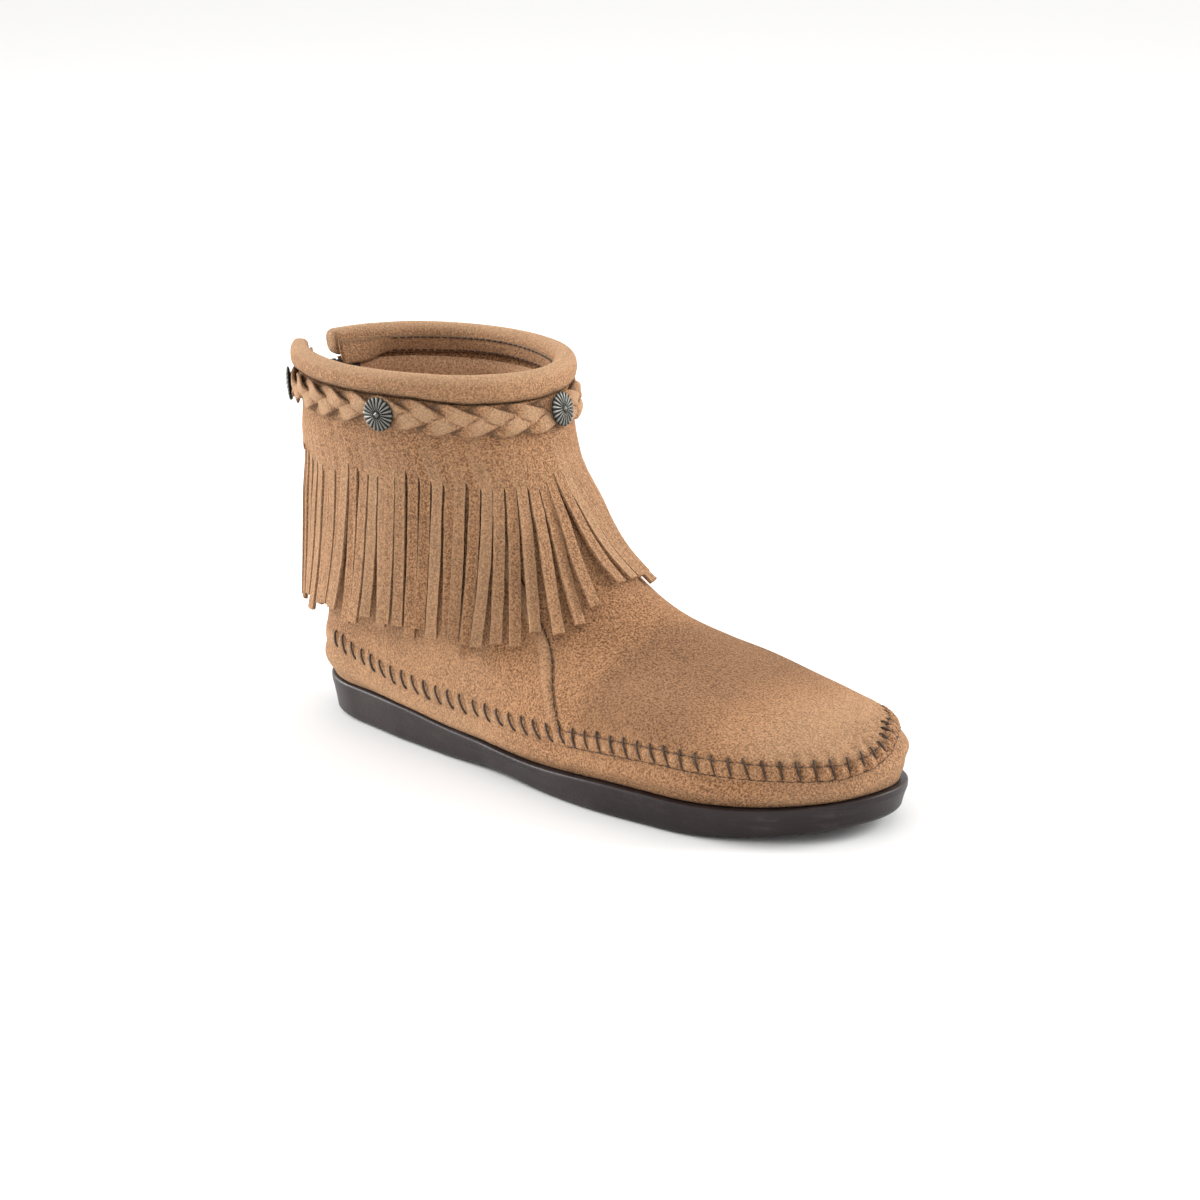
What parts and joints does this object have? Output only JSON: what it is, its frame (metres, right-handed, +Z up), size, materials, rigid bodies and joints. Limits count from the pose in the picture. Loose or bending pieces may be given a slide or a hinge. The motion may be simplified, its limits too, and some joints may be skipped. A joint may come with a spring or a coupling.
{
  "type": "fringed moccasin ankle boot",
  "caption": "Tan suede ankle boot for the right foot with a padded collar, a plaited band with metal studs, a hanging fringe, a whipstitched toe seam, a back zip and a flat rubber sole.",
  "frame": {"origin": "the middle of the heel's flat tread, on the floor", "axes": "+X from heel to toe, +Y to the inner side of the foot, +Z up"},
  "size_m": [0.2722, 0.1005, 0.1413],
  "materials": {
    "suede_upper": "tan suede with a short nap, very matt",
    "suede_collar": "the same tan suede over a padded collar roll",
    "suede_fringe": "cut tan suede, nap on both faces",
    "suede_braid": "tan suede lace, plaited flat",
    "suede_tab": "tan suede tab over the heel's seam",
    "sole_rubber": "dark brown moulded rubber, satin",
    "insole_lining": "plain tan sock lining",
    "dark_metal": "oxidised cast metal, darker in the flutes",
    "zip_tape": "black woven tape",
    "zip_teeth": "black coil",
    "zip_metal": "dark plated metal, lightly worn"
  },
  "bodies": {
    "boot": {"outsole": "sole_rubber", "insole": "insole_lining", "upper": "suede_upper", "collar_roll": "suede_collar", "fringe": "suede_fringe", "braid": "suede_braid", "heel_tab": "suede_tab", "concho_1": "dark_metal", "concho_2": "dark_metal", "concho_3": "dark_metal", "concho_4": "dark_metal", "zip_tape": "zip_tape", "zip_chain": "zip_teeth", "zip_slider": "zip_metal"},
    "pull": {"zip_pull": "zip_metal"}
  },
  "joints": [
    {"name": "zip_pull_swing", "type": "hinge", "parent": "boot", "child": "pull", "pos_m": [-0.04202, 0, 0.112], "axis": [0, 1, 0], "range_deg": [0, 160]}
  ]
}
